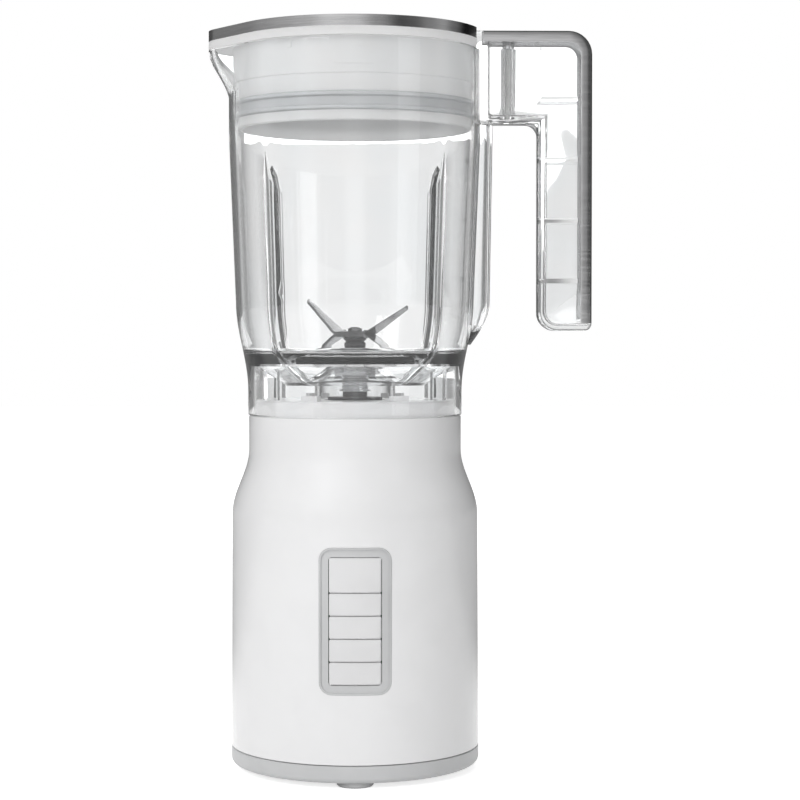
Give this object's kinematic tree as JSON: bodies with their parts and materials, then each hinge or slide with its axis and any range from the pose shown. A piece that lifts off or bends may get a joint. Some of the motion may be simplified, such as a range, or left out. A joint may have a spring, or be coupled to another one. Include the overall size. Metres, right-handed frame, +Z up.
{
  "type": "countertop blender",
  "caption": "Countertop blender: motor base with push keys, clear lift-off jug with open handle and spout, bent-wing blade, lid and filler cap.",
  "frame": {"origin": "on the motor axis, in the plane that the undersides of the feet stand on", "axes": "+Z up along the motor axis, +X towards the handle, -X towards the spout, -Y towards the keys"},
  "size_m": [0.2127, 0.1419, 0.4097],
  "materials": {
    "white_gloss": "moulded white ABS, high gloss",
    "grey_satin": "satin silver-grey plastic",
    "key_white": "satin off-white plastic",
    "foot_rubber": "matt rubber",
    "gland_plastic": "satin plastic",
    "clear_plastic": "clear copolyester, polished",
    "handle_plastic": "clear copolyester, slightly hazy",
    "brushed_steel": "brushed stainless steel",
    "blade_steel": "hardened stainless steel, dark ground finish",
    "steel": "turned stainless steel",
    "black_plastic": "glass-filled nylon, satin",
    "lid_plastic": "translucent white polypropylene, satin",
    "seal_silicone": "soft silicone",
    "black_rubber": "moulded rubber",
    "fastener_steel": "zinc-plated steel",
    "laminations": "stacked steel sheet",
    "copper": "enamelled copper wire",
    "commutator_copper": "copper segments",
    "brass": "pressed brass",
    "carbon": "pressed carbon",
    "cast_aluminium": "die-cast aluminium",
    "circuit_board": "green laminate"
  },
  "bodies": {
    "base": {"base_housing": "white_gloss", "bottom_cover": "grey_satin", "feet": "foot_rubber", "cord_gland": "gland_plastic", "key_bezel": "grey_satin", "jug_seat": "white_gloss", "housing_screws": "fastener_steel", "switch_block": "black_plastic", "control_board": "circuit_board", "board_screws": "fastener_steel", "drive_seal": "black_rubber", "motor_dampers": "black_rubber", "motor_screws": "fastener_steel", "upper_bracket": "cast_aluminium", "lower_bracket": "cast_aluminium", "tie_bolts": "fastener_steel", "stator_core": "laminations", "field_coils": "copper", "upper_bearing": "steel", "lower_bearing": "steel", "brush_holders": "brass", "carbon_brushes": "carbon", "brush_springs": "fastener_steel", "fan_shroud": "black_plastic"},
    "rotor": {"motor_shaft": "steel", "armature_core": "laminations", "armature_windings": "copper", "commutator": "commutator_copper", "cooling_fan": "black_plastic", "base_coupling": "black_plastic"},
    "jug": {"jug_body": "clear_plastic", "jug_handle": "handle_plastic", "handle_strip": "brushed_steel", "handle_screw": "fastener_steel", "blade_housing": "steel", "blade_bushes": "brass", "shaft_seal": "black_rubber", "floor_washer": "steel", "retaining_nut": "steel", "thrust_washer": "steel"},
    "blade": {"upper_blade": "blade_steel", "lower_blade": "blade_steel", "blade_shaft": "steel", "blade_spacer": "black_plastic", "blade_nut": "blade_steel", "jug_coupling": "black_plastic"},
    "lid": {"lid_body": "lid_plastic", "lid_band": "brushed_steel", "lid_seal": "seal_silicone"},
    "cap": {"filler_cap": "lid_plastic", "cap_seal": "seal_silicone"},
    "key_1_body": {"key_1": "key_white"},
    "key_2_body": {"key_2": "key_white"},
    "key_3_body": {"key_3": "key_white"},
    "key_4_body": {"key_4": "key_white"},
    "key_5_body": {"key_5": "key_white"}
  },
  "joints": [
    {"name": "motor_spin", "type": "hinge", "parent": "base", "child": "rotor", "pos_m": [0, 0, 0.15], "axis": [0, 0, 1], "continuous": true},
    {"name": "jug_lift", "type": "slide", "parent": "base", "child": "jug", "axis": [0, 0, 1], "range_m": [0, 0.06]},
    {"name": "blade_spin", "type": "hinge", "parent": "jug", "child": "blade", "pos_m": [0, 0, 0.225], "axis": [0, 0, 1], "continuous": true},
    {"name": "lid_lift", "type": "slide", "parent": "jug", "child": "lid", "axis": [0, 0, 1], "range_m": [0, 0.06]},
    {"name": "cap_lift", "type": "slide", "parent": "lid", "child": "cap", "axis": [0, 0, 1], "range_m": [0, 0.03]},
    {"name": "key_1_press", "type": "slide", "parent": "base", "child": "key_1_body", "axis": [0, 1, 0], "range_m": [0, 0.0025], "stiffness_N_per_m": 300, "springref_m": -0.0005},
    {"name": "key_2_press", "type": "slide", "parent": "base", "child": "key_2_body", "axis": [0, 1, 0], "range_m": [0, 0.0025], "stiffness_N_per_m": 300, "springref_m": -0.0005},
    {"name": "key_3_press", "type": "slide", "parent": "base", "child": "key_3_body", "axis": [0, 1, 0], "range_m": [0, 0.0025], "stiffness_N_per_m": 300, "springref_m": -0.0005},
    {"name": "key_4_press", "type": "slide", "parent": "base", "child": "key_4_body", "axis": [0, 1, 0], "range_m": [0, 0.0025], "stiffness_N_per_m": 300, "springref_m": -0.0005},
    {"name": "key_5_press", "type": "slide", "parent": "base", "child": "key_5_body", "axis": [0, 1, 0], "range_m": [0, 0.0025], "stiffness_N_per_m": 300, "springref_m": -0.0005}
  ],
  "couplings": [
    {"joint": "blade_spin", "follows": "motor_spin", "ratio": 1}
  ]
}
